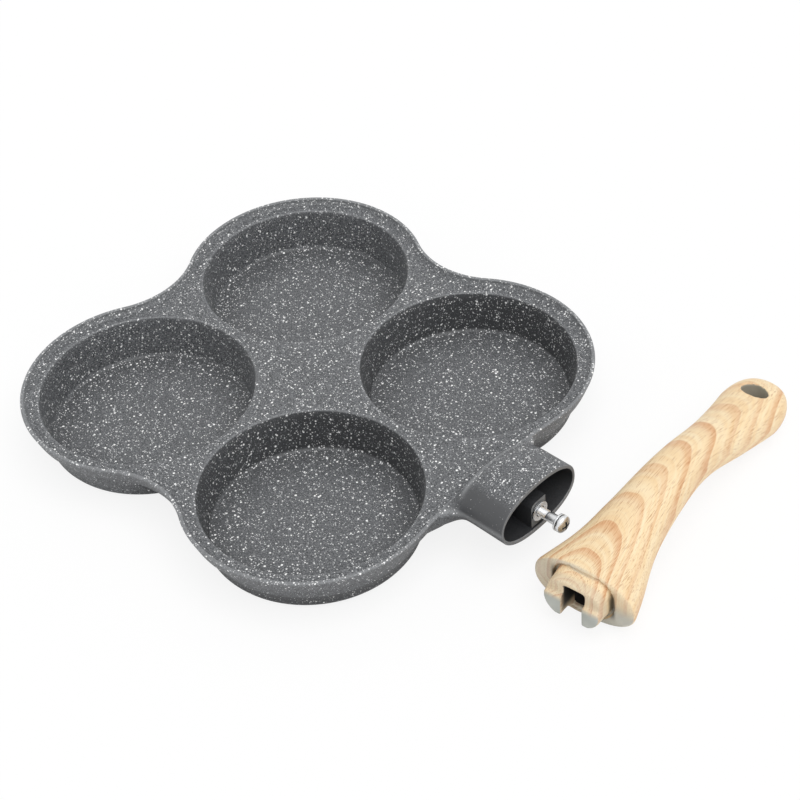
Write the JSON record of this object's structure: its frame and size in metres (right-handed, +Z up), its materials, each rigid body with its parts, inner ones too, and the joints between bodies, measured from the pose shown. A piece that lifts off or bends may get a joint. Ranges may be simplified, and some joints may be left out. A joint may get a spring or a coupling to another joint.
{
  "type": "four-cup frying pan",
  "caption": "Cast frying pan with round egg cups joined by a raised rim, and its loose arched handle that plugs into an oval socket and is held by a screw.",
  "frame": {"origin": "middle of the footprint of the pan and the loose handle together, on the surface they rest on", "axes": "+Z up, +X from the cups towards the handle socket, +Y towards the loose handle's tail"},
  "size_m": [0.3322, 0.2624, 0.0414],
  "materials": {
    "stone_coating": "speckled stone-effect non-stick coating",
    "bright_steel": "bright zinc plating",
    "wood_print": "wood-grain print under satin lacquer"
  },
  "bodies": {
    "pan": {"pan_body": "stone_coating", "flat_washer": "bright_steel"},
    "lock_washer": {"spring_washer": "bright_steel"},
    "screw": {"fixing_screw": "bright_steel"},
    "loose_handle": {"handle": "wood_print"}
  },
  "joints": [
    {"name": "screw_feed", "type": "slide", "parent": "pan", "child": "lock_washer", "axis": [-1, 0, 0], "range_m": [0, 0.0096]},
    {"name": "screw_turn", "type": "hinge", "parent": "lock_washer", "child": "screw", "pos_m": [0.09817, -0.01309, 0.0242], "axis": [-1, 0, 0], "range_deg": [0, 4325]},
    {"name": "handle_lift", "type": "slide", "parent": "pan", "child": "loose_handle", "axis": [0, 0, 1], "range_m": [0, 0.12]}
  ],
  "couplings": [
    {"joint": "screw_turn", "follows": "screw_feed", "rad_per_m": 7854}
  ]
}
